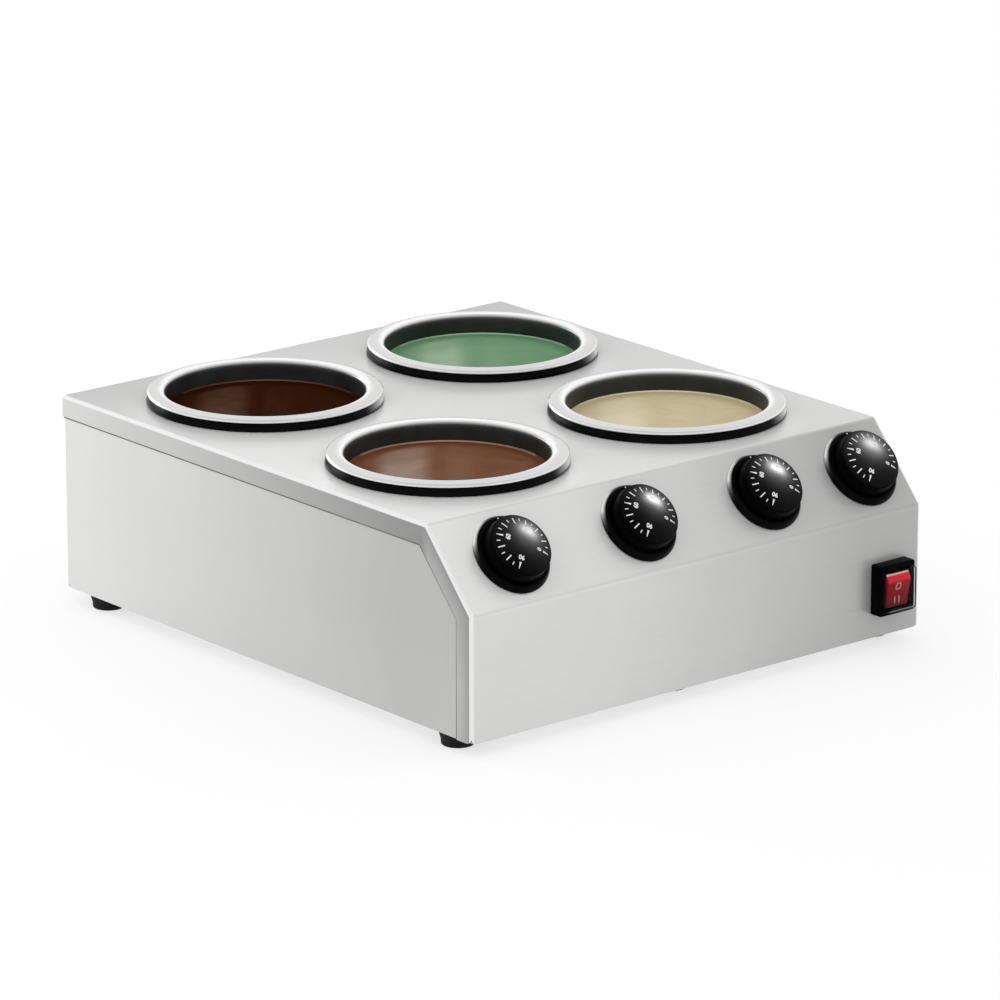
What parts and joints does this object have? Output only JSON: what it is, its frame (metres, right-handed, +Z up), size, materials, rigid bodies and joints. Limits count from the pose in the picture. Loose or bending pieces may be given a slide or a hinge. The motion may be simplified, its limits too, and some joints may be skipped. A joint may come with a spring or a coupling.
{
  "type": "countertop chocolate melter",
  "caption": "Countertop dry-heat chocolate melter: folded steel housing with lift-out pots in a flat deck, dial knobs on a sloping panel and a rocker switch.",
  "frame": {"origin": "on the table, under the middle of the bounding box", "axes": "+X to the right seen from the front, +Y to the back, +Z up; the knobs and the switch face -Y"},
  "size_m": [0.4, 0.4838, 0.1588],
  "materials": {
    "housing_steel": "brushed along the width",
    "panel_steel": "brushed along the depth",
    "foot_rubber": "matte",
    "pot_metal": "satin rim, black coated inside",
    "chocolate_milk": "glossy liquid",
    "chocolate_dark": "glossy liquid",
    "chocolate_green": "glossy liquid",
    "chocolate_white": "glossy liquid",
    "collar_black": "gloss",
    "well_metal": "plain drawn",
    "heater_metal": "cast",
    "bezel_black": "satin",
    "knob_black": "gloss with white marks",
    "spindle_steel": "turned",
    "thermostat_metal": "plated",
    "sensor_copper": "drawn copper",
    "switch_black": "satin",
    "rocker_red": "translucent gloss",
    "cap_clear": "clear",
    "gland_black": "satin",
    "seal_rubber": "matte",
    "terminal_plastic": "matte",
    "wire_sleeve": "matte"
  },
  "bodies": {
    "housing": {"top_cover": "housing_steel", "left_side_panel": "panel_steel", "right_side_panel": "panel_steel", "rear_panel": "panel_steel", "base_plate": "panel_steel", "foot_front_left": "foot_rubber", "foot_front_middle": "foot_rubber", "foot_front_right": "foot_rubber", "foot_rear_left": "foot_rubber", "foot_rear_middle": "foot_rubber", "foot_rear_right": "foot_rubber", "collar_front_left": "collar_black", "collar_front_right": "collar_black", "collar_rear_left": "collar_black", "collar_rear_right": "collar_black", "well_front_left": "well_metal", "well_front_right": "well_metal", "well_rear_left": "well_metal", "well_rear_right": "well_metal", "heater_front_left": "heater_metal", "heater_front_right": "heater_metal", "heater_rear_left": "heater_metal", "heater_rear_right": "heater_metal", "bezel_1": "bezel_black", "bezel_2": "bezel_black", "bezel_3": "bezel_black", "bezel_4": "bezel_black", "thermostat_1": "thermostat_metal", "thermostat_2": "thermostat_metal", "thermostat_3": "thermostat_metal", "thermostat_4": "thermostat_metal", "sensor_1": "sensor_copper", "sensor_2": "sensor_copper", "sensor_3": "sensor_copper", "sensor_4": "sensor_copper", "switch_housing": "switch_black", "switch_cover": "cap_clear", "gland_body": "gland_black", "gland_locknut": "gland_black", "gland_nut": "gland_black", "gland_seal": "seal_rubber", "terminal_block": "terminal_plastic", "wiring_harness": "wire_sleeve"},
    "lift_pot_front_left": {"pot_front_left": "pot_metal", "chocolate_front_left": "chocolate_milk"},
    "lift_pot_front_right": {"pot_front_right": "pot_metal", "chocolate_front_right": "chocolate_white"},
    "lift_pot_rear_left": {"pot_rear_left": "pot_metal", "chocolate_rear_left": "chocolate_dark"},
    "lift_pot_rear_right": {"pot_rear_right": "pot_metal", "chocolate_rear_right": "chocolate_green"},
    "dial_1": {"knob_1": "knob_black", "spindle_1": "spindle_steel"},
    "dial_2": {"knob_2": "knob_black", "spindle_2": "spindle_steel"},
    "dial_3": {"knob_3": "knob_black", "spindle_3": "spindle_steel"},
    "dial_4": {"knob_4": "knob_black", "spindle_4": "spindle_steel"},
    "rocker": {"switch_rocker": "rocker_red"}
  },
  "joints": [
    {"name": "pot_front_left_lift", "type": "slide", "parent": "housing", "child": "lift_pot_front_left", "axis": [0, 0, 1], "range_m": [0, 0.12]},
    {"name": "pot_front_right_lift", "type": "slide", "parent": "housing", "child": "lift_pot_front_right", "axis": [0, 0, 1], "range_m": [0, 0.12]},
    {"name": "pot_rear_left_lift", "type": "slide", "parent": "housing", "child": "lift_pot_rear_left", "axis": [0, 0, 1], "range_m": [0, 0.12]},
    {"name": "pot_rear_right_lift", "type": "slide", "parent": "housing", "child": "lift_pot_rear_right", "axis": [0, 0, 1], "range_m": [0, 0.12]},
    {"name": "dial_1_turn", "type": "hinge", "parent": "housing", "child": "dial_1", "pos_m": [-0.1472, -0.20325, 0.124], "axis": [0, -0.7469, 0.665], "range_deg": [-144, 126]},
    {"name": "dial_2_turn", "type": "hinge", "parent": "housing", "child": "dial_2", "pos_m": [-0.0368, -0.20325, 0.124], "axis": [0, -0.7469, 0.665], "range_deg": [-144, 126]},
    {"name": "dial_3_turn", "type": "hinge", "parent": "housing", "child": "dial_3", "pos_m": [0.0752, -0.20325, 0.124], "axis": [0, -0.7469, 0.665], "range_deg": [-144, 126]},
    {"name": "dial_4_turn", "type": "hinge", "parent": "housing", "child": "dial_4", "pos_m": [0.164, -0.20325, 0.124], "axis": [0, -0.7469, 0.665], "range_deg": [-144, 126]},
    {"name": "switch_press", "type": "hinge", "parent": "housing", "child": "rocker", "pos_m": [0.1706, -0.2314, 0.045], "axis": [-1, 0, 0], "range_deg": [0, 18]}
  ]
}
